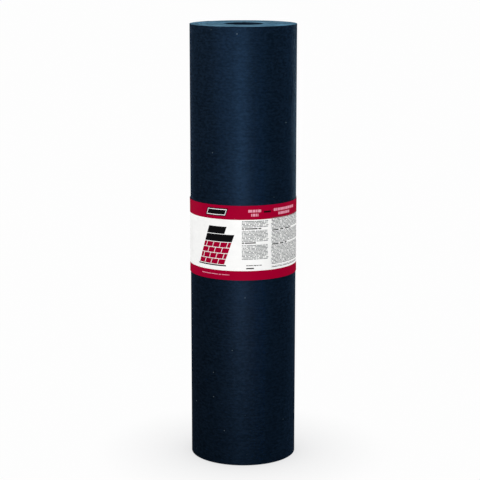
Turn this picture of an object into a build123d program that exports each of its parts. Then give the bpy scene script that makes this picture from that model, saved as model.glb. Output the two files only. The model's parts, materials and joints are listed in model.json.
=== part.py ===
from build123d import *
import os
from math import degrees

# Roll of roofing felt, standing on its end: one long sheet of asphalt-saturated felt wound tightly round
# an open bore, with a paper band glued round its middle to keep the loose end down.
# Millimetres, +Z up, origin on the roll's axis at its lower end, -Y towards the printed side.

# The felt sheet and the roll wound from it
sheet_width = 914.4  # 36 in stock, which is the roll's height
sheet_thickness = 0.75  # one turn of saturated felt
roll_diameter = 222.0  # over the sheet's loose end
bore_diameter = 82.0  # left by the winding mandrel
outer_turns = 2  # turns outside the turned bands, the last of which ends in the cut edge
cut_edge_angle = 130.0  # degrees from +X, on the roll's far side

# The sheet wanders sideways as it is wound, so bands of turns stand proud at one end and sunk at the other.
# One share of the wander for each band, from the bore outwards: the bands at zero carry the roll.
edge_wander = 1.2
wander_shares = (
    0.3, 0.0, 0.15, 0.45, 0.25, 0.6, 0.4, 0.1, 0.0,
    0.35, 0.8, 0.55, 0.7, 0.3, 0.0, 0.15, 0.5, 0.2,
)

# The paper band
band_height = 155.0
band_bottom = 398.5  # its lower edge, above the roll's lower end
band_paper = 0.25  # paper thickness
band_slack = 0.4  # room between the felt and the paper
band_lap = 40.0  # glued overlap, measured round the roll
band_lap_angle = 90.0  # degrees from +X to the middle of the lap

roll_radius = roll_diameter / 2
bore_radius = bore_diameter / 2
turned_radius = roll_radius - outer_turns * sheet_thickness
turn_band = (turned_radius - bore_radius) / len(wander_shares)


def end_steps(height):
    """Corners of one end of the half section, from the bore outwards, with a flat for each band of turns."""
    corners = []
    for band, share in enumerate(wander_shares):
        flat = height + share * edge_wander
        corners.append((bore_radius + band * turn_band, flat))
        corners.append((bore_radius + (band + 1) * turn_band, flat))
    return corners


with BuildPart() as felt_roll:
    # The wound bands of turns, a half section turned about the axis
    with BuildSketch(Plane.XZ):
        with BuildLine():
            Polyline(*end_steps(0), *reversed(end_steps(sheet_width)), close=True)
        make_face()
    revolve(axis=Axis.Z)

    # The outer turns: their outside is a spiral of two half circles, about centres half a thickness apart,
    # which opens by one thickness at the sheet's cut edge
    centre_shift = sheet_thickness / 4
    rising_radius = roll_radius - centre_shift
    falling_radius = rising_radius - sheet_thickness / 2
    with BuildSketch(Plane.XY.rotated((0, 0, cut_edge_angle))):
        with BuildLine():
            rising_half = CenterArc((centre_shift, 0), rising_radius, 0, 180)
            falling_half = CenterArc((-centre_shift, 0), falling_radius, 180, 180)
            Line(falling_half @ 1, rising_half @ 0)
        make_face()
        Circle(turned_radius, mode=Mode.SUBTRACT)
    extrude(amount=sheet_width)

felt_roll.part.label = "felt_roll"


with BuildPart() as paper_band:
    paper_inside = roll_radius + band_slack
    paper_outside = paper_inside + band_paper
    lap_outside = paper_outside + band_paper
    lap_sweep = degrees(band_lap / lap_outside)
    with BuildSketch(Plane.XY.offset(band_bottom)):
        Circle(paper_outside)
        # The strip's outer end, glued down over its inner one
        with BuildLine():
            lap = CenterArc((0, 0), lap_outside, band_lap_angle - lap_sweep / 2, lap_sweep)
            Line((0, 0), lap @ 0)
            Line(lap @ 1, (0, 0))
        make_face()
        Circle(paper_inside, mode=Mode.SUBTRACT)
    extrude(amount=band_height)

paper_band.part.label = "paper_band"


os.makedirs("parts", exist_ok=True)
export_step(felt_roll.part, "parts/felt_roll.step")
export_step(paper_band.part, "parts/paper_band.step")
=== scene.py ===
import json
from math import pi, radians, tau

import bpy
import numpy as np
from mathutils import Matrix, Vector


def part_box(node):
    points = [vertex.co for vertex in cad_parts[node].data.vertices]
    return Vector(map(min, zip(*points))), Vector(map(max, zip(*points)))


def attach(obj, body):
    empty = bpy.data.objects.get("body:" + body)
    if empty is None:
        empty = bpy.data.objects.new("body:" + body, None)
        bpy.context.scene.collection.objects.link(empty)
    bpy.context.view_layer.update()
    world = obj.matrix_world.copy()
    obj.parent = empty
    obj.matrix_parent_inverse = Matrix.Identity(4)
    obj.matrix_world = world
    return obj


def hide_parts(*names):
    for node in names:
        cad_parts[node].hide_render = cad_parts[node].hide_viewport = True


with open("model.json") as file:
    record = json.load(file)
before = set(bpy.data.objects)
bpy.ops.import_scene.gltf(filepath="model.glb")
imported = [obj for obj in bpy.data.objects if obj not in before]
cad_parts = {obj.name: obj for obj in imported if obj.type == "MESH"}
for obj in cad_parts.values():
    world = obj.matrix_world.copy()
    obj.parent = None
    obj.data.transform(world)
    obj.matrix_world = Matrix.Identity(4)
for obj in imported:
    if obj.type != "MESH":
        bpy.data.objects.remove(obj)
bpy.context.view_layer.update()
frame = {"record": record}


# The felt roll. One sheet of felt, soaked in asphalt and cut 36 in wide, is wound round a mandrel that is
# then drawn out. Every turn of it shows on both ends, and its square-cut outer end runs down the far side,
# where it springs up a little above and below the band that holds it.
mm_per_metre = 1000
bore = next(mount for mount in frame["record"]["mounts"] if mount["name"] == "bore")
sheet_width = bore["dims"]["length_mm"] / mm_per_metre
bore_radius = bore["dims"]["r_mm"] / mm_per_metre
band_low, band_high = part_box("paper_band")
band_stand_off = 0.00065  # from the felt to the outside of the band
roll_radius = band_high.x - band_stand_off
sheet_thickness = 0.00075
cut_edge_angle = radians(130)

# The winding, in steps of the sheet from its inner end to its outer one
steps_per_turn = 128
last_step = int(((roll_radius - bore_radius) / sheet_thickness - 1) * steps_per_turn)
step = np.arange(last_step + 1)
turn_below = np.maximum(step - steps_per_turn, 0)
turns_to_go = (last_step - step) / steps_per_turn
angle = cut_edge_angle + tau * turns_to_go
inner_face = roll_radius - sheet_thickness * (1 + turns_to_go)
run = np.cumsum(inner_face) * tau / steps_per_turn

chance = np.random.default_rng(36)


def eased(share):
    """A share from 0 to 1 that starts and ends gently."""
    return share * share * (3 - 2 * share)


def wavering(along, spacing):
    """Smooth values from 0 to 1 along a length, with a new one drawn at each spacing."""
    knots = chance.random(int(along.max() / spacing) + 2)
    knot = (along / spacing).astype(int)
    share = eased(along / spacing - knot)
    return knots[knot] * (1 - share) + knots[knot + 1] * share


# How far the sheet's edge wanders sideways, slowly over several turns and in short ripples, how deep the
# gap under each turn is, and how pale its edge is, each with its spacing along the sheet
edge_wanders = ((0.00066, 2.3), (0.00022, 0.5), (0.00008, 0.03))
least_gap_depth, added_gap_depth, gap_spacing = 0.0002, 0.0004, 0.11
edge_tones = ((0.55, 1.1), (0.45, 0.07))
edge_wander = sum(most * wavering(run, spacing) for most, spacing in edge_wanders)
gap_depth = least_gap_depth + added_gap_depth * wavering(run, gap_spacing)
edge_tone = sum(share * wavering(run, spacing) for share, spacing in edge_tones)

# The sheet's loose outer end, which lifts off the turn below it
flap_steps = 12
flap_root = last_step - flap_steps
flap_share = np.clip((step - flap_root) / flap_steps, 0, 1) ** 2
flap_lift = 0.0024
least_lift = 0.00004


def lift_at(height):
    """How far the loose end stands off the roll at a height: held by the band, free towards the ends."""
    from_band = np.maximum(band_low.z - height, height - band_high.z)
    free = np.clip(from_band / (sheet_width - band_high.z), 0, 1)
    return least_lift + flap_lift * eased(free)


rows = []


def add_row(steps, radius, wander, rise, flap, groove_shade):
    """Add a row of end points at some steps of the sheet, and give their numbers."""
    first = sum(len(row[0]) for row in rows)
    rows.append([np.broadcast_to(part, steps.shape) for part in (steps, radius, wander, rise, flap, groove_shade)])
    return first + np.arange(len(steps))


# Points of one end, as rows along the sheet: the groove under each turn, the two shoulders of its edge, the
# rim of the last turn, and the face that the loose end has lifted from
shoulder_share = 0.2
rim_drop = 0.00012
last_turn = step[last_step - steps_per_turn + 1:]
lifted = step[flap_root + 1:]
# The last value of each row is how much painted shade its points get: full in the groove under each turn,
# half on the face under the loose end, none on the shoulders and the rim
groove = add_row(step, inner_face, np.minimum(edge_wander, edge_wander[turn_below]), rise=-gap_depth,
                 flap=flap_share, groove_shade=1.0)
inner_shoulder = add_row(step, inner_face + shoulder_share * sheet_thickness, edge_wander, rise=0.0,
                         flap=flap_share, groove_shade=0.0)
outer_shoulder = add_row(step, inner_face + (1 - shoulder_share) * sheet_thickness, edge_wander, rise=0.0,
                         flap=flap_share, groove_shade=0.0)
rim = add_row(last_turn, (inner_face + sheet_thickness)[last_turn], edge_wander[last_turn], rise=-rim_drop,
              flap=flap_share[last_turn], groove_shade=0.0)
uncovered = add_row(lifted, inner_face[lifted], edge_wander[turn_below][lifted], rise=-rim_drop, flap=0.0,
                    groove_shade=0.5)
point_step, point_radius, point_wander, point_rise, point_flap, point_groove_shade = (
    np.concatenate(part) for part in zip(*rows))
points_per_end = len(point_step)

# What each outer shoulder meets: the next turn's groove, the face below the loose end, or the rim
outward = np.concatenate([groove[steps_per_turn:flap_root + 1], uncovered, rim])

# The two walls, as loops of end points: round the rim, over the cut edge and back under the loose end, and
# round the bore with the sheet's inner end
outer_loop = np.concatenate([uncovered[-1:], rim, [outer_shoulder[-1], inner_shoulder[-1]],
                             groove[:flap_root - 1:-1], uncovered[:-1]])
bore_loop = np.concatenate([groove[:steps_per_turn + 1], [outer_shoulder[0], inner_shoulder[0]]])


def upright(radius, turned, height):
    """Points from their radius, angle and height."""
    return np.stack([radius * np.cos(turned), radius * np.sin(turned), height], axis=-1)


lower_height = point_wander - point_rise
upper_height = sheet_width + point_wander + point_rise
point_angle = angle[point_step]
points = [upright(point_radius + point_flap * lift_at(height), point_angle, height)
          for height in (lower_height, upper_height)]
# Per point, the painted shade of the grooves and the tone of each turn's edge
groove_shade_mask = [point_groove_shade, point_groove_shade]
tone_mask = [edge_tone[point_step], edge_tone[point_step]]
quads, quad_slots, bake_places = [], [], []
FACE, CUT_EDGE = 0, 1
LOWER, UPPER = 0, 1


def add_quads(corners, slot, bake_place):
    """Keep some faces of the felt, with their material and their places on the square below."""
    quads.append(corners)
    quad_slots.append(np.full(len(corners), slot))
    bake_places.append(bake_place)


def grid_quads(grid):
    """The four corners of every cell of a grid, in turn."""
    corners = np.stack([grid[:-1, :-1], grid[1:, :-1], grid[1:, 1:], grid[:-1, 1:]], axis=2)
    return corners.reshape(-1, *corners.shape[2:])


# Where each surface lies on the square of the OFBake map: the wall over its top three quarters, and both
# ends and the bore in a row below it, each as left, bottom, width and height
wall_tile = (0.0, 0.26, 1.0, 0.74)
bore_tile = (0.5, 0.0, 0.5, 0.25)
end_tiles = ((0.0, 0.0, 0.25, 0.25), (0.25, 0.0, 0.25, 0.25))
tile_margin = 0.01
end_span = 2.1 * roll_radius


def in_tile(across, up, tile):
    """Places on the square, from shares of the width and height inside a tile's margin."""
    left, bottom, width, height = tile
    inside_share = 1 - 2 * tile_margin
    return np.stack([left + width * (tile_margin + inside_share * across),
                     bottom + height * (tile_margin + inside_share * up)], axis=-1)


for end in (LOWER, UPPER):
    end_places = in_tile(*(0.5 + points[end][:, :2].T / end_span), end_tiles[end])
    for inside, outside in ((groove, inner_shoulder), (inner_shoulder, outer_shoulder),
                            (outer_shoulder, outward)):
        corners = np.stack([inside[:-1], inside[1:], outside[1:], outside[:-1]], axis=1)
        if end == LOWER:
            corners = corners[:, ::-1]
        add_quads(corners + end * points_per_end, CUT_EDGE, end_places[corners])

# The walls sway in and out a little between the two ends, in waves round the roll and up it
wall_sway = 0.00012
sway_waves = ((3, 5, 0), (5, -9, 1))
wall_levels, bore_levels = 56, 14


def add_wall(loop, levels, facing_out, tile):
    """Close the two ends with a wall down one loop of their points."""
    shares = np.linspace(0, 1, levels + 1)[:, None]
    height = lower_height[loop] + (upper_height[loop] - lower_height[loop]) * shares
    turned = point_angle[loop]
    waves = sum(np.sin(around * turned + up * height + start) for around, up, start in sway_waves)
    sway = np.sin(pi * shares) * wall_sway * waves
    radius = point_radius[loop] + point_flap[loop] * lift_at(height) + sway * facing_out
    between = upright(radius, turned, height)[1:-1].reshape(-1, 3)
    first = sum(len(part) for part in points)
    points.append(between)
    for mask in (groove_shade_mask, tone_mask):
        mask.append(np.zeros(len(between)))
    grid = np.vstack([loop, first + np.arange(len(between)).reshape(-1, len(loop)), loop + points_per_end])
    corners = grid_quads(np.column_stack([grid, grid[:, 0]]))
    across = np.linspace(0, 1, len(loop) + 1)
    bake_place = grid_quads(in_tile(*np.broadcast_arrays(across, shares), tile))
    if not facing_out:
        corners, bake_place = corners[:, ::-1], bake_place[:, ::-1]
    add_quads(corners, FACE, bake_place)


add_wall(outer_loop, wall_levels, True, wall_tile)
add_wall(bore_loop, bore_levels, False, bore_tile)

crease_angle = radians(50)


def make_piece(name, points, quads, slots, maps):
    """A smooth piece with sharp edges, from its points, its faces, their material slots and their maps."""
    mesh = bpy.data.meshes.new(name)
    mesh.from_pydata(points.tolist(), [], quads.tolist())
    mesh.polygons.foreach_set("material_index", slots)
    mesh.polygons.foreach_set("use_smooth", np.ones(len(quads), bool))
    for map_name, places in maps.items():
        mesh.uv_layers.new(name=map_name).uv.foreach_set("vector", places.ravel())
    mesh.set_sharp_from_angle(angle=crease_angle)
    piece = bpy.data.objects.new(name, mesh)
    bpy.context.scene.collection.objects.link(piece)
    return piece


felt_roll = make_piece("felt_roll_wound", np.concatenate(points), np.concatenate(quads),
                       np.concatenate(quad_slots), {"OFBake": np.concatenate(bake_places)})
# The painted shade of the grooves and each turn's tone, kept on the points for the cut edge's finish
for name, mask in (("groove_shade", groove_shade_mask), ("tone", tone_mask)):
    values = felt_roll.data.attributes.new(name, "FLOAT", "POINT").data
    values.foreach_set("value", np.concatenate(mask))


def feed(tree, node, inputs):
    """Set a node's inputs to the values given, or join them to the sockets given."""
    for key, value in inputs.items():
        if isinstance(value, bpy.types.NodeSocket):
            tree.links.new(value, node.inputs[key])
        else:
            node.inputs[key].default_value = value


def add_node(tree, kind, inputs=None, **settings):
    """A shader node with its settings and its inputs."""
    node = tree.nodes.new("ShaderNode" + kind)
    for name, value in settings.items():
        setattr(node, name, value)
    feed(tree, node, inputs or {})
    return node


def add_math(tree, operation, *values, clamp=False):
    """One step of arithmetic on values and sockets."""
    return add_node(tree, "Math", dict(enumerate(values)), operation=operation, use_clamp=clamp).outputs[0]


def add_sum(tree, base, *parts):
    """A base with some masks added to it, each as a pair of the mask and how much of it."""
    total = base
    for mask, amount in parts:
        total = add_math(tree, "MULTIPLY_ADD", mask, amount, total)
    return total


def add_mix(tree, share, first, second, blend="MIX"):
    """The first colour, with a share of the second one laid over it."""
    mixed = add_node(tree, "Mix", {0: share, 6: first, 7: second}, data_type="RGBA", blend_type=blend)
    return mixed.outputs[2]


def add_group(tree, group, inputs):
    """The outputs of a node group that is placed in a tree with its inputs."""
    return add_node(tree, "Group", inputs, node_tree=group).outputs


def start_group(name, inputs, outputs):
    """An empty node group with its sockets, and its two end nodes."""
    group = bpy.data.node_groups.new(name, "ShaderNodeTree")
    for in_out, sockets in (("INPUT", inputs), ("OUTPUT", outputs)):
        for socket, kind in sockets.items():
            group.interface.new_socket(socket, in_out=in_out, socket_type="NodeSocket" + kind)
    return group, group.nodes.new("NodeGroupInput").outputs, group.nodes.new("NodeGroupOutput").inputs


def start_material(name):
    """An empty material, with its tree and its Principled shader."""
    material = bpy.data.materials.new(name)
    material.use_nodes = True
    tree = material.node_tree
    return material, tree, tree.nodes["Principled BSDF"]


def srgb(red, green, blue):
    """A colour as it shows on screen, from 0 to 255, as the shader's own linear values."""
    shown = np.array([red, green, blue]) / 255
    linear = np.where(shown <= 0.04045, shown / 12.92, ((shown + 0.055) / 1.055) ** 2.4)
    return (*linear.tolist(), 1.0)


# Grain: fibres, streaks or blotches, as fine along each axis as Fineness says, in grains to the metre
middle = 0.5
grain, given, result = start_group(
    "grain", {"Place": "Vector", "Fineness": "Vector", "Contrast": "Float"}, {"Grain": "Float"})
stretched = add_node(grain, "VectorMath", {0: given["Place"], 1: given["Fineness"]}, operation="MULTIPLY")
speckle = add_node(grain, "TexNoise", {"Vector": stretched.outputs[0], "Scale": 1.0, "Detail": 4.0,
                                       "Roughness": 0.62})
centred = add_math(grain, "SUBTRACT", speckle.outputs[0], middle)
spread = add_math(grain, "MULTIPLY_ADD", centred, given["Contrast"], middle, clamp=True)
grain.links.new(spread, result["Grain"])

# Specks: a small round spot in some of the cells of a loose lattice
specks, given, result = start_group(
    "specks", {"Place": "Vector", "Cells": "Float", "Size": "Float", "Share": "Float"}, {"Mask": "Float"})
cells = add_node(specks, "TexVoronoi", {"Vector": given["Place"], "Scale": given["Cells"]}).outputs
cell_draw = add_node(specks, "SeparateColor", {0: cells["Color"]}).outputs[0]
picked = add_math(specks, "LESS_THAN", cell_draw, given["Share"])
spot = add_node(specks, "MapRange", {"Value": cells["Distance"], "From Min": given["Size"], "From Max": 0.0,
                                     "To Min": 0.0, "To Max": 1.0})
specks.links.new(add_math(specks, "MULTIPLY", picked, spot.outputs[0]), result["Mask"])


def add_grain(tree, place, fineness, contrast):
    """One grain over a surface, from 0 to 1."""
    return add_group(tree, grain, {"Place": place, "Fineness": fineness, "Contrast": contrast})["Grain"]


# The sheet's face: dark felt, tufted and streaked along the sheet, with a film of asphalt and some lint
felt_dark = srgb(2, 7, 14)
felt_pale = srgb(18, 30, 44)
felt_lint = srgb(122, 136, 142)
lint_cover = 0.8
felt_face, tree, shader = start_material("saturated_felt_face")
place = add_node(tree, "TexCoord").outputs["Object"]
blotch = add_grain(tree, place, fineness=(14, 14, 9), contrast=1.8)
streak = add_grain(tree, place, fineness=(14, 14, 260), contrast=2.4)
tuft = add_grain(tree, place, fineness=(130, 130, 260), contrast=4.6)
fibre = add_grain(tree, place, fineness=(1100, 1100, 1100), contrast=1.5)
lint = add_group(tree, specks, {"Place": place, "Cells": 40.0, "Size": 0.065, "Share": 0.6})["Mask"]
tone = add_sum(tree, 0.0, (blotch, 0.2), (streak, 0.2), (fibre, 0.15), (tuft, 0.45))
cloth = add_mix(tree, tone, felt_dark, felt_pale)
relief = add_sum(tree, fibre, (tuft, 0.5), (streak, 1.2))
bump = add_node(tree, "Bump", {"Strength": 0.8, "Distance": 0.0003, "Height": relief})
feed(tree, shader, {
    "Base Color": add_mix(tree, add_math(tree, "MULTIPLY", lint, lint_cover), cloth, felt_lint),
    "Roughness": add_sum(tree, 0.48, (tuft, 0.2)),
    "Normal": bump.outputs[0],
    "Specular IOR Level": 0.0,
    "Coat Weight": add_sum(tree, 0.012, (tuft, 0.003), (streak, 0.003)),
    "Coat Roughness": 0.5,
})

# The sheet's cut edge: paler fibres, a little different from turn to turn, with painted shade in the
# grooves between turns and on the face under the loose end
cut_dark = srgb(22, 38, 50)
cut_pale = srgb(92, 128, 149)
# Near-black painted shade, laid on the grooves between turns and the face under the loose end where the
# points ask for it
painted_groove_shade = srgb(5, 8, 12)
groove_shade_falloff = 1.5
felt_cut_edge, tree, shader = start_material("saturated_felt_cut_edge")
place = add_node(tree, "TexCoord").outputs["Object"]
fibre = add_grain(tree, place, fineness=(900, 900, 900), contrast=2.0)
blotch = add_grain(tree, place, fineness=(22, 22, 22), contrast=3.2)
turn_tone = add_node(tree, "Attribute", attribute_name="tone").outputs["Fac"]
groove_shade = add_node(tree, "Attribute", attribute_name="groove_shade").outputs["Fac"]
tone = add_sum(tree, 0.0, (fibre, 0.2), (turn_tone, 0.35), (blotch, 0.45))
cut = add_mix(tree, tone, cut_dark, cut_pale)
bump = add_node(tree, "Bump", {"Strength": 0.6, "Distance": 0.0002, "Height": fibre})
feed(tree, shader, {
    "Base Color": add_mix(tree, add_math(tree, "POWER", groove_shade, groove_shade_falloff), cut, painted_groove_shade),
    "Roughness": add_sum(tree, 0.5, (fibre, 0.2)),
    "Normal": bump.outputs[0],
    "Specular IOR Level": 0.0,
})

for finish in (felt_face, felt_cut_edge):
    felt_roll.data.materials.append(finish)
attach(felt_roll, "root")
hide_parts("felt_roll")


# The paper band. One strip of coated paper, printed flat in red, black, grey and rose, is drawn round the
# middle of the roll and glued to itself where its ends lap on the far side, so that it holds the felt's
# loose end down.
paper_thickness = 0.00015
glue_gap = 0.00004
lap_length = 0.040
lap_sweep = lap_length / roll_radius
strip_columns, strip_rows = 288, 24
strip_height = band_high.z - band_low.z
strip_skew = 0.0006
strip_end = pi + lap_sweep / 2

turned = np.linspace(-strip_end, strip_end, strip_columns + 1)[:, None]
up = np.linspace(0, 1, strip_rows + 1)[None, :]
to_edge = np.abs(2 * up - 1)

# The felt under the strip, one thickness lower past the cut edge, where the strip spans the step
to_cut_edge = (turned - pi / 2 - cut_edge_angle) % tau
past_cut_edge = tau - to_cut_edge
span_sweep = np.arccos(1 - sheet_thickness / roll_radius)
spanned = (roll_radius - sheet_thickness) / np.cos(np.clip(span_sweep - past_cut_edge, 0, None))
wound = roll_radius - sheet_thickness * to_cut_edge / tau
felt_below = np.where(past_cut_edge < span_sweep, spanned, wound)

# The strip over it: slack at the roll's two sides, flared along its edges, stepped up to lie on its own
# first end, and curled at the corners of the last one
least_slack, side_slack, wavering_slack, slack_spacing, slack_power = 0.0001, 0.0009, 0.0002, 0.05, 4
edge_flare, flare_spacing, flare_power = 0.00030, 0.07, 8
corner_curl, curl_sweep, curl_power = 0.0007, 0.08, 3
lap_rise_sweep = 0.05
run_start = -4  # an angle before the strip's first end
strip_run = (turned[:, 0] - run_start) * roll_radius
slack = (least_slack + side_slack * np.sin(turned) ** slack_power
         + wavering_slack * wavering(strip_run, slack_spacing)[:, None])
flare = edge_flare * to_edge ** flare_power * wavering(strip_run, flare_spacing)[:, None]
lap_start = pi - lap_sweep / 2
over_lap = eased(np.clip((turned - lap_start) / lap_rise_sweep + 1, 0, 1))
near_end = np.clip((turned - (strip_end - curl_sweep)) / curl_sweep, 0, 1)
end_curl = corner_curl * near_end ** 2 * to_edge ** curl_power
inside = felt_below + slack + flare + over_lap * (paper_thickness + glue_gap) + end_curl
strip_level = band_low.z + strip_height * up + strip_skew * turned / pi
strip_points = np.concatenate([upright(radius, turned - pi / 2, strip_level).reshape(-1, 3)
                               for radius in (inside, inside + paper_thickness)])

PRINTED, PLAIN = 0, 1
inner_grid = np.arange(inside.size).reshape(inside.shape)
outer_grid = inner_grid + inside.size
edges = [np.stack([inner_grid[:, 0], outer_grid[:, 0]], axis=1),
         np.stack([outer_grid[:, -1], inner_grid[:, -1]], axis=1),
         np.stack([outer_grid[0], inner_grid[0]], axis=1),
         np.stack([inner_grid[-1], outer_grid[-1]], axis=1)]
printed_quads = np.concatenate([grid_quads(grid) for grid in (outer_grid, *edges)])
plain_quads = grid_quads(inner_grid)[:, ::-1]
strip_quads = np.concatenate([printed_quads, plain_quads])
strip_slots = np.repeat([PRINTED, PLAIN], [len(printed_quads), len(plain_quads)])
strip_corner = strip_quads % inside.size
flat_places = np.stack(np.broadcast_arrays(turned * roll_radius, strip_height * up), axis=-1).reshape(-1, 2)

# Four lengths of the printed face lie on the square of the OFBake map, in two rows, above the whole plain
# face
printed_lengths, lengths_in_row = 4, 2
plain_tile = (0.0, 0.0, 1.0, 0.18)
lengths_bottom, length_tile_width, length_tile_height = 0.2, 0.5, 0.4
length_columns = strip_columns // printed_lengths
column, level = np.divmod(strip_corner, strip_rows + 1)
length = np.minimum(column.min(axis=1, keepdims=True) // length_columns, printed_lengths - 1)
length_tiles = (length_tile_width * (length % lengths_in_row),
                lengths_bottom + length_tile_height * (length // lengths_in_row),
                length_tile_width, length_tile_height)
printed_places = in_tile(column / length_columns - length, level / strip_rows, length_tiles)
plain_places = in_tile(column / strip_columns, level / strip_rows, plain_tile)
strip_bake_places = np.where(strip_slots[:, None, None] == PRINTED, printed_places, plain_places)
paper_band = make_piece("paper_band_printed", strip_points, strip_quads, strip_slots,
                        {"flat": flat_places[strip_corner], "OFBake": strip_bake_places})

# Block: a printed bar on the flat strip, which may lean to the right as it rises
place_and_size = {"Place": "Vector", "Left": "Float", "Bottom": "Float", "Width": "Float",
                  "Height": "Float"}
block, given, result = start_group("printed_block", {**place_and_size, "Lean": "Float"}, {"Mask": "Float"})
axes = add_node(block, "SeparateXYZ", {0: given["Place"]}).outputs
above = add_math(block, "SUBTRACT", axes[1], given["Bottom"])
leaning_left = add_math(block, "MULTIPLY_ADD", above, given["Lean"], given["Left"])
along = add_math(block, "SUBTRACT", axes[0], leaning_left)
half_width = add_math(block, "MULTIPLY", given["Width"], 0.5)
half_height = add_math(block, "MULTIPLY", given["Height"], 0.5)
within_width = add_math(block, "COMPARE", along, half_width, half_width)
within_height = add_math(block, "COMPARE", above, half_height, half_height)
block.links.new(add_math(block, "MULTIPLY", within_width, within_height), result["Mask"])

# Lines: a column of fine ruled dashes, broken and ragged at the right as small print looks from a distance
inked_share, dash_level, row_shift, raggedness = 0.55, 0.38, 7.3, 0.06
lines, given, result = start_group(
    "ruled_lines", {**place_and_size, "Pitch": "Float", "Dash": "Float"}, {"Mask": "Float"})
axes = add_node(lines, "SeparateXYZ", {0: given["Place"]}).outputs
row_level = add_math(lines, "DIVIDE", add_math(lines, "SUBTRACT", axes[1], given["Bottom"]), given["Pitch"])
row_number = add_math(lines, "FLOOR", row_level)
on_row = add_math(lines, "LESS_THAN", add_math(lines, "FRACT", row_level), inked_share)
dash_number = add_math(lines, "DIVIDE", axes[0], given["Dash"])
shifted_row = add_math(lines, "MULTIPLY", row_number, row_shift)
dash_place = add_node(lines, "CombineXYZ", {0: dash_number, 1: shifted_row}).outputs[0]
dashes = add_node(lines, "TexNoise", {"Vector": dash_place, "Scale": 1.0, "Detail": 1.0},
                  noise_dimensions="2D")
dashed = add_math(lines, "GREATER_THAN", dashes.outputs[0], dash_level)
ragged = add_node(lines, "TexWhiteNoise", {"W": row_number}, noise_dimensions="1D").outputs["Value"]
row_width = add_math(lines, "MULTIPLY", given["Width"], add_sum(lines, 1.0, (ragged, -raggedness)))
within = add_group(lines, block, {"Place": given["Place"], "Left": given["Left"], "Bottom": given["Bottom"],
                                  "Width": row_width, "Height": given["Height"], "Lean": 0.0})["Mask"]
lines.links.new(add_math(lines, "MULTIPLY", within, add_math(lines, "MULTIPLY", on_row, dashed)),
                result["Mask"])

paper_white = srgb(252, 252, 251)
ink_red = srgb(160, 0, 44)
ink_black = srgb(14, 14, 16)
ink_grey = srgb(98, 103, 105)
ink_rose = srgb(228, 152, 174)
printed_paper, tree, shader = start_material("printed_paper")
flat = add_node(tree, "UVMap", uv_map="flat").outputs[0]


def bar(left, bottom, width, height, lean=0.0):
    """A solid bar on the strip."""
    return add_group(tree, block, {"Place": flat, "Left": left, "Bottom": bottom, "Width": width,
                                   "Height": height, "Lean": lean})["Mask"]


def small_print(left, bottom, width, height, pitch=0.0028, dash=0.0024):
    """A block of dashed lines on the strip."""
    return add_group(tree, lines, {"Place": flat, "Left": left, "Bottom": bottom, "Width": width,
                                   "Height": height, "Pitch": pitch, "Dash": dash})["Mask"]


# The two red stripes, which run the whole length of the strip and past its edges
stripe_reach = 0.5
top_stripe, bottom_stripe = 0.029, 0.0195
printed = paper_white
for stripe_bottom, stripe in ((strip_height - top_stripe, top_stripe), (-bottom_stripe, bottom_stripe)):
    across = bar(-stripe_reach, stripe_bottom, 2 * stripe_reach, 2 * stripe)
    printed = add_mix(tree, across, printed, ink_red)

# Two columns of small print in paragraphs, with subheads between them, as left, bottom, width and height
left_column, left_width = -0.003, 0.057
right_column, right_width = 0.060, 0.102
paragraphs = ((left_column, 0.1105, left_width, 0.0135),
              (left_column, 0.0810, left_width, 0.0230),
              (left_column, 0.0436, left_width, 0.0310),
              (right_column, 0.1040, right_width, 0.0240),
              (right_column, 0.0750, right_width, 0.0240),
              (right_column, 0.0310, right_width, 0.0400),
              (right_column, 0.0240, 0.095, 0.0034))
subhead_height = 0.0024
subheads = ((left_column, 0.1062, 0.042, subhead_height),
            (left_column, 0.0768, 0.030, subhead_height),
            (right_column, 0.1005, 0.060, subhead_height),
            (right_column, 0.0715, 0.045, subhead_height))
foot_lines = (0.006, 0.030, 0.034, 0.0026)
foot_bar = (0.006, 0.0235, 0.016, 0.0024)
for area in paragraphs:
    printed = add_mix(tree, small_print(*area), printed, ink_grey)
for area in subheads:
    printed = add_mix(tree, small_print(*area, pitch=0.0044, dash=0.007), printed, ink_black)
printed = add_mix(tree, small_print(*foot_lines), printed, ink_black)
printed = add_mix(tree, bar(*foot_bar), printed, ink_black)

# Headings in the upper stripe with a black bar between them, and one line in the lower stripe
heading_height, first_line, second_line = 0.0055, 0.1412, 0.1328
headings = ((0.010, first_line, 0.028, heading_height),
            (0.016, second_line, 0.016, heading_height),
            (0.066, first_line, 0.067, heading_height),
            (0.078, second_line, 0.036, heading_height))
stripe_line = (-0.096, 0.010, 0.070, 0.0014)
heading_bar = (0.043, 0.1395, 0.016, 0.0038)
for area in headings:
    printed = add_mix(tree, small_print(*area, pitch=0.010, dash=0.0022), printed, ink_rose)
printed = add_mix(tree, small_print(*stripe_line, pitch=0.004, dash=0.004), printed, ink_rose)
printed = add_mix(tree, bar(*heading_bar), printed, ink_black)

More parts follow.
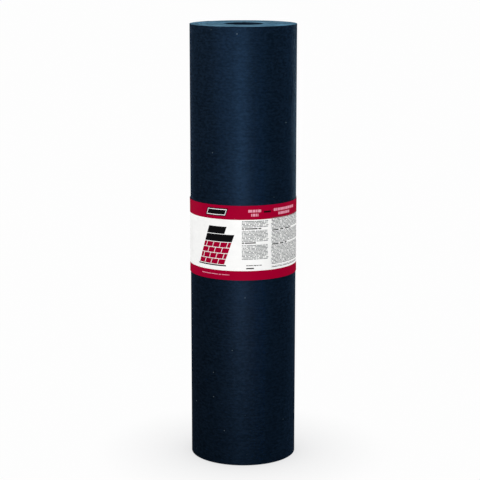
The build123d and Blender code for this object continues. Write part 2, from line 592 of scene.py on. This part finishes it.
# The panel's picture: a roof slope above its eave, with red tabs in courses up to two strips of black felt
slope_left, slope_bottom, slope_width, slope_lean = -0.103, 0.032, 0.064, 0.35
tab_courses, tab_width, tab_height, tab_gap = 4, 0.016, 0.0118, 0.0012
felt_rise, felt_shares = 0.0165, (1.0, 0.66)
eave_height, eave_reach = 0.0026, 0.003
eave = bar(slope_left - eave_reach, slope_bottom - eave_height - tab_gap, slope_width + 2 * eave_reach,
           eave_height)
printed = add_mix(tree, eave, printed, ink_black)
risen = 0.0
for course in range(tab_courses):
    start = slope_left + slope_lean * risen
    for joint in np.arange(-(course % 2) * tab_width / 2, slope_width, tab_width):
        left, right = max(joint, 0), min(joint + tab_width, slope_width)
        tab = bar(start + left, slope_bottom + risen, right - left - tab_gap, tab_height - tab_gap,
                  slope_lean)
        printed = add_mix(tree, tab, printed, ink_red)
    risen += tab_height
for share in felt_shares:
    start = slope_left + slope_lean * risen
    felt = bar(start, slope_bottom + risen, slope_width * share - tab_gap, felt_rise - tab_gap, slope_lean)
    printed = add_mix(tree, felt, printed, ink_black)
    risen += felt_rise

# A bare black plate in the upper stripe, with a white line just inside its edge
plate_left, plate_bottom, plate_width, plate_height = -0.085, 0.1325, 0.048, 0.0165
plate_layers = ((0.0, ink_black), (0.0020, paper_white), (0.0034, ink_black))
for inset, colour in plate_layers:
    layer = bar(plate_left + (1 + slope_lean) * inset, plate_bottom + inset, plate_width - 2 * inset,
                plate_height - 2 * inset, slope_lean)
    printed = add_mix(tree, layer, printed, colour)

# The coated outside, a little rubbed, and the plain inside
rubbed_white = srgb(247, 247, 247)
pulp_dark = srgb(226, 224, 218)
pulp_pale = srgb(244, 243, 239)
paper_sheen = {"Specular IOR Level": 0.0, "Coat Weight": 0.02, "Coat Roughness": 0.35}
place = add_node(tree, "TexCoord").outputs["Object"]
pulp = add_grain(tree, place, fineness=(700, 700, 700), contrast=1.2)
rub = add_grain(tree, flat, fineness=(30, 46, 1), contrast=2.6)
bump = add_node(tree, "Bump", {"Strength": 0.2, "Distance": 0.0001, "Height": pulp})
feed(tree, shader, {
    "Base Color": add_mix(tree, rub, printed, rubbed_white, "MULTIPLY"),
    "Roughness": add_sum(tree, 0.42, (pulp, 0.16)),
    "Normal": bump.outputs[0],
    **paper_sheen,
})

plain_paper, tree, shader = start_material("plain_paper")
place = add_node(tree, "TexCoord").outputs["Object"]
pulp = add_grain(tree, place, fineness=(700, 700, 700), contrast=1.5)
feed(tree, shader, {
    "Base Color": add_mix(tree, pulp, pulp_dark, pulp_pale),
    "Roughness": add_sum(tree, 0.7, (pulp, 0.1)),
    **paper_sheen,
})

for finish in (printed_paper, plain_paper):
    paper_band.data.materials.append(finish)
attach(paper_band, "root")
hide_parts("paper_band")


# The stage. A wide floor that shows as white and keeps the roll's soft shadow round its foot, under a white
# surround, with soft lamps about the roll and the camera of the photograph.
scene = bpy.context.scene
scene.view_settings.view_transform = "Standard"
white = (1, 1, 1, 1)
floor_reach = 80.0
floor_corners = [(floor_reach * x, floor_reach * y, 0) for x, y in ((-1, -1), (1, -1), (1, 1), (-1, 1))]
floor_mesh = bpy.data.meshes.new("studio_floor")
floor_mesh.from_pydata(floor_corners, [], [(0, 1, 2, 3)])
floor = bpy.data.objects.new("studio_floor", floor_mesh)
scene.collection.objects.link(floor)


def seen_directly(tree, share):
    """The share for rays from the camera, and for those that a shiny or clear surface sends on."""
    path = add_node(tree, "LightPath").outputs
    seen = add_math(tree, "MAXIMUM", path["Is Camera Ray"], path["Is Glossy Ray"])
    return add_math(tree, "MULTIPLY", add_math(tree, "MAXIMUM", seen, path["Is Transmission Ray"]), share)


# The floor shows its own white, greyer where the roll shuts the light out
floor_grey = srgb(225, 225, 225)
shadow_grey = srgb(196, 196, 198)
shadow_reach = 0.22
floor_white_share = 0.98
floor_white, tree, shader = start_material("studio_floor_white")
feed(tree, shader, {"Base Color": floor_grey, "Roughness": 0.9, "Specular IOR Level": 0.0})
open_share = add_node(tree, "AmbientOcclusion", {"Distance": shadow_reach}, samples=8).outputs["AO"]
glow = add_node(tree, "Emission", {"Color": add_mix(tree, open_share, shadow_grey, white)})
shown = add_node(tree, "MixShader", {0: seen_directly(tree, floor_white_share), 1: shader.outputs[0],
                                     2: glow.outputs[0]})
feed(tree, tree.nodes["Material Output"], {"Surface": shown.outputs[0]})
floor_mesh.materials.append(floor_white)

scene.world = bpy.data.worlds.new("studio_surround")
scene.world.use_nodes = True
tree = scene.world.node_tree
ambient = tree.nodes["Background"]
feed(tree, ambient, {"Color": white, "Strength": 0.35})
surround = add_node(tree, "Background", {"Color": white, "Strength": 1.0})
shown = add_node(tree, "MixShader", {0: seen_directly(tree, 1.0), 1: ambient.outputs[0],
                                     2: surround.outputs[0]})
feed(tree, tree.nodes["World Output"], {"Surface": shown.outputs[0]})

lamp_aim = Vector((0, 0, 0.6))
plain, cool = (1, 1, 1), (0.6, 0.85, 1.0)


def add_lamp(name, place, width, height, watts, colour=plain, lit=None):
    """A soft lamp aimed at the roll, for everything or for one piece alone."""
    light = bpy.data.lights.new(name, "AREA")
    light.shape = "RECTANGLE"
    light.size, light.size_y, light.energy, light.color = width, height, watts, colour
    lamp = bpy.data.objects.new(name, light)
    lamp.location = place
    lamp.rotation_mode = "QUATERNION"
    lamp.rotation_quaternion = (lamp_aim - Vector(place)).to_track_quat("-Z", "Y")
    lamp.visible_camera = False
    if lit:
        lamp.light_linking.receiver_collection = bpy.data.collections.new(name)
        lamp.light_linking.receiver_collection.objects.link(lit)
    scene.collection.objects.link(lamp)
    return lamp


add_lamp("key_softbox", (-1.3, -2.4, 2.4), width=1.4, height=1.4, watts=10)

# Three lamps light the band evenly all round
band_lamps = (("front", (0.0, -2.0, 0.8)),
              ("left", (-1.75, 1.0, 0.8)),
              ("right", (1.75, 1.0, 0.8)))
for side, place in band_lamps:
    add_lamp("band_" + side, place, width=1.4, height=1.0, watts=27, lit=paper_band)

# The felt's own lamps leave no gloss on it: to the left and right, a cool one further round at the right,
# two behind, and a small one close above the near edge of its upper end
felt_lamps = (("left", (-0.8, -0.4, 1.4), 0.5, 12, plain),
              ("right", (1.2, -0.6, 1.8), 0.6, 6.5, plain),
              ("side", (1.6, 0.5, 1.2), 0.6, 44, cool),
              ("back_left", (-1.0, 1.6, 1.0), 0.6, 28, plain),
              ("back_right", (1.0, 1.6, 1.0), 0.6, 28, plain),
              ("end", (0.04, -0.14, 1.02), 0.12, 0.12, plain))
for side, place, size, watts, colour in felt_lamps:
    lamp = add_lamp("felt_" + side, place, size, size, watts, colour, felt_roll)
    lamp.visible_glossy = False

# Other lamps show only as the soft gloss of the felt's asphalt: cool ones in front, to the left and to the
# right, one low behind each side that edges the roll, and a warm one near the floor in front
gloss_lamps = (("front", (-0.14, -2.0, 0.5), 0.45, 0.6, 700, (0.19, 0.48, 1.0)),
               ("left", (-1.3, -1.6, 0.9), 0.8, 0.8, 240, (0.19, 0.48, 1.0)),
               ("right", (1.3, -1.6, 0.3), 0.8, 0.5, 185, (0.08, 0.4, 1.0)),
               ("rim", (1.1, 1.68, 0.38), 0.4, 0.7, 68, (0.58, 0.85, 1.0)),
               ("rim_left", (-1.0, 1.75, 0.45), 0.4, 0.8, 27, (0.4, 0.65, 1.0)),
               ("low", (0.0, -0.7, 0.22), 0.5, 0.15, 5.5, (1.0, 0.8, 0.75)))
for side, place, width, height, watts, colour in gloss_lamps:
    lamp = add_lamp("gloss_" + side, place, width, height, watts, colour, felt_roll)
    lamp.visible_diffuse = False

looks_down, turned_left = radians(11.253), radians(0.122)
camera = bpy.data.objects.new("camera", bpy.data.cameras.new("camera"))
camera.data.lens = 118.43
camera.data.sensor_width = 36.0
camera.data.clip_end = 300
camera.location = (0.0, -3.2694, 1.1115)
camera.rotation_euler = (pi / 2 - looks_down, 0, turned_left)
scene.collection.objects.link(camera)
scene.camera = camera
